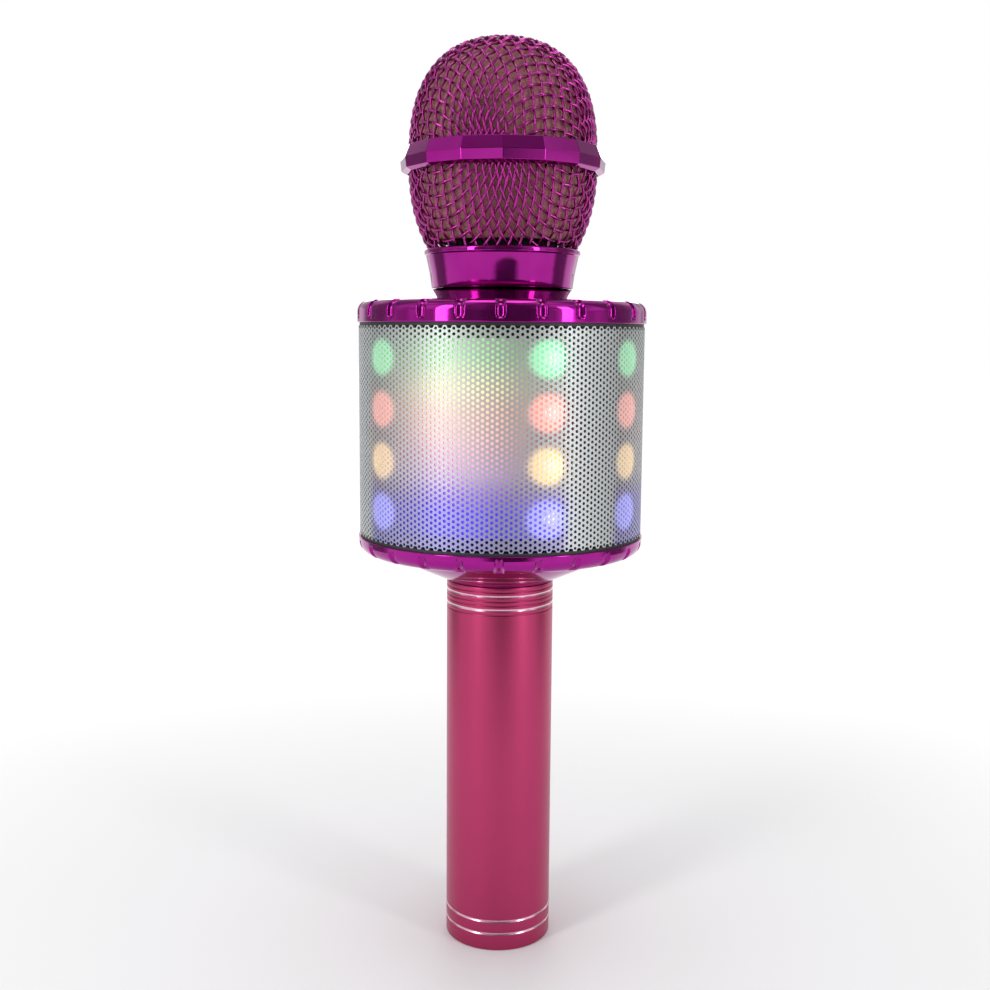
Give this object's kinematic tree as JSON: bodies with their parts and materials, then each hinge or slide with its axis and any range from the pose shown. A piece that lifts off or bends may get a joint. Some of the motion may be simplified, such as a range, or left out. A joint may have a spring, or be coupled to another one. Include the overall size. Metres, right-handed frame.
{
  "type": "karaoke microphone",
  "caption": "Hand-held wireless karaoke microphone with a woven-mesh head, a perforated loudspeaker barrel lit from inside, and a battery handle.",
  "frame": {"origin": "centre of the handle's flat end", "axes": "+Z along the microphone towards its head, -Y out of the light window, +Y out of the control panel"},
  "size_m": [0.0788, 0.0788, 0.2497],
  "materials": {
    "magenta_plate": "mirror-bright magenta plating over moulded plastic",
    "magenta_wire": "woven round wire, mirror-bright magenta plating",
    "pink_anodised": "satin pink anodised, with bright turned rings",
    "silver_perforated": "perforated sheet, satin silver",
    "black_moulded": "moulded, fine texture",
    "black_gloss": "polished black",
    "white_moulded": "moulded white, satin",
    "frosted": "frosted diffuser",
    "silver_button": "silver paint, satin",
    "circuit_board": "green solder mask",
    "zinc_steel": "zinc plated",
    "ferrite": "sintered grey",
    "black_paper": "pressed paper",
    "black_rubber": "matt",
    "rose_foam": "open-cell foam, dusky rose",
    "grey_foam": "closed-cell foam",
    "cell_sleeve": "blue shrink sleeve over the cell",
    "red_lead": "insulated lead"
  },
  "bodies": {
    "barrel": {"handle_tube": "pink_anodised", "handle_end_cap": "black_moulded", "battery_cell": "cell_sleeve", "battery_pad_lower": "grey_foam", "battery_pad_upper": "grey_foam", "battery_board": "circuit_board", "lower_cap": "magenta_plate", "upper_cap": "magenta_plate", "cap_screw_1": "zinc_steel", "cap_screw_2": "zinc_steel", "cap_screw_3": "zinc_steel", "speaker_grille": "silver_perforated", "inner_frame": "black_moulded", "light_reflector": "white_moulded", "center_lens": "frosted", "led_strip_center": "white_moulded", "led_strip_back_left": "white_moulded", "led_strip_back_right": "white_moulded", "led_strip_side_left": "white_moulded", "led_strip_side_right": "white_moulded", "speaker_baffle": "black_moulded", "speaker_basket": "zinc_steel", "speaker_magnet": "ferrite", "speaker_surround": "black_rubber", "panel_bezel": "magenta_plate", "panel_face": "black_gloss", "control_board": "circuit_board", "board_screw_left": "zinc_steel", "board_screw_right": "zinc_steel", "power_switch": "black_moulded", "play_switch": "black_moulded", "record_switch": "black_moulded", "previous_switch": "black_moulded", "next_switch": "black_moulded", "volume_slide_pot": "zinc_steel", "echo_slide_pot": "zinc_steel", "charging_socket": "zinc_steel", "card_socket": "zinc_steel", "audio_socket": "black_moulded", "capsule_holder": "black_moulded", "capsule_mount": "black_rubber", "microphone_capsule": "zinc_steel", "battery_lead": "red_lead", "speaker_lead": "red_lead", "microphone_lead": "red_lead"},
    "head": {"head_collar": "magenta_plate", "lower_basket": "magenta_wire", "head_band": "magenta_plate", "dome_grille": "magenta_wire", "dome_foam": "rose_foam", "basket_foam": "rose_foam"},
    "head_thread": {"head_thread_ring": "black_moulded"},
    "speaker_cone": {"speaker_cone": "black_paper"},
    "power_button": {"power_button": "silver_button"},
    "play_button": {"play_button": "silver_button"},
    "record_button": {"record_button": "silver_button"},
    "previous_button": {"previous_button": "silver_button"},
    "next_button": {"next_button": "silver_button"},
    "volume_knob": {"volume_knob": "silver_button"},
    "echo_knob": {"echo_knob": "silver_button"}
  },
  "joints": [
    {"name": "head_lift", "type": "slide", "parent": "barrel", "child": "head_thread", "axis": [0, 0, 1], "range_m": [0, 0.006]},
    {"name": "head_turn", "type": "hinge", "parent": "head_thread", "child": "head", "pos_m": [0, 0, 0.189], "axis": [0, 0, 1], "range_deg": [0, 1440]},
    {"name": "cone_travel", "type": "slide", "parent": "barrel", "child": "speaker_cone", "axis": [0, 0, 1], "range_m": [-0.0008, 0.0008], "stiffness_N_per_m": 900},
    {"name": "power_press", "type": "slide", "parent": "barrel", "child": "power_button", "axis": [0, -1, 0], "range_m": [0, 0.0004], "stiffness_N_per_m": 1500, "springref_m": -0.0004},
    {"name": "play_press", "type": "slide", "parent": "barrel", "child": "play_button", "axis": [0, -1, 0], "range_m": [0, 0.0004], "stiffness_N_per_m": 1500, "springref_m": -0.0004},
    {"name": "record_press", "type": "slide", "parent": "barrel", "child": "record_button", "axis": [0, -1, 0], "range_m": [0, 0.0004], "stiffness_N_per_m": 1500, "springref_m": -0.0004},
    {"name": "previous_press", "type": "slide", "parent": "barrel", "child": "previous_button", "axis": [0, -1, 0], "range_m": [0, 0.0004], "stiffness_N_per_m": 1500, "springref_m": -0.0004},
    {"name": "next_press", "type": "slide", "parent": "barrel", "child": "next_button", "axis": [0, -1, 0], "range_m": [0, 0.0004], "stiffness_N_per_m": 1500, "springref_m": -0.0004},
    {"name": "volume_slide", "type": "slide", "parent": "barrel", "child": "volume_knob", "axis": [0, 0, 1], "range_m": [-0.009, 0.009]},
    {"name": "echo_slide", "type": "slide", "parent": "barrel", "child": "echo_knob", "axis": [0, 0, 1], "range_m": [-0.009, 0.009]}
  ],
  "couplings": [
    {"joint": "head_lift", "follows": "head_turn", "m_per_rad": 0.00023873}
  ]
}
